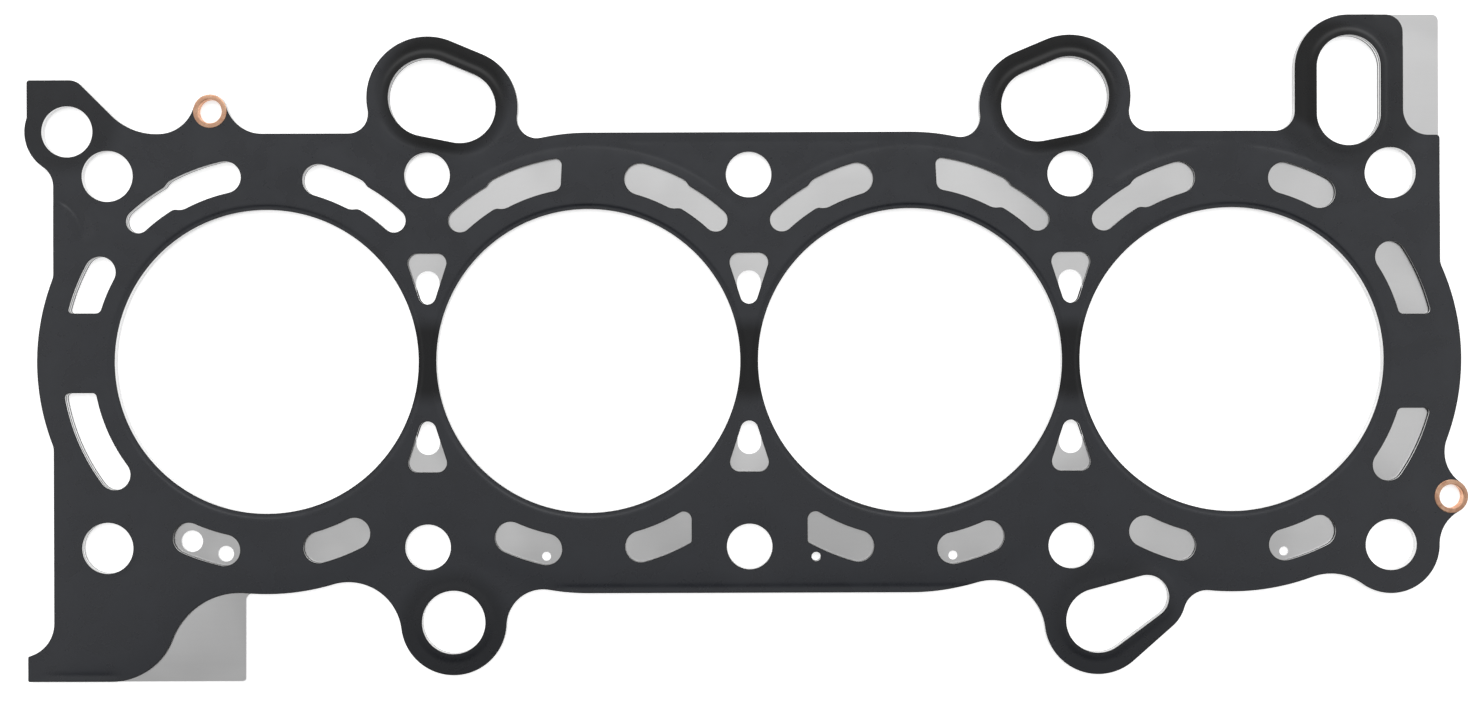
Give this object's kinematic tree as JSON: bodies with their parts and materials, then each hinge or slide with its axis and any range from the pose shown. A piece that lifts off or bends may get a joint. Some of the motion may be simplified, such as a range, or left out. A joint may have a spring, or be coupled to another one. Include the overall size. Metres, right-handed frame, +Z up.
{
  "type": "cylinder head gasket",
  "caption": "Flat layered steel gasket that seals an inline engine's cylinder head to its block, with large round bores, bolt holes, oil and coolant openings, bare corner tabs and eyelets.",
  "frame": {"origin": "centre of the head bolt pattern, midway between the second and third bore, on the plane of the block face", "axes": "+X along the row of bores towards the end with the oblong oil hole, +Y towards the edge with the two large oil lobes, +Z up towards the cylinder head"},
  "size_m": [0.4217, 0.194, 0.0014],
  "materials": {
    "coated_steel": "satin black rubber coating on steel",
    "bare_steel": "cold rolled, fine grain",
    "copper": "copper, smooth"
  },
  "bodies": {
    "root": {"upper_sheet": "coated_steel", "centre_sheet": "bare_steel", "lower_sheet": "coated_steel", "eyelet_left": "copper", "eyelet_right": "copper"}
  },
  "joints": []
}
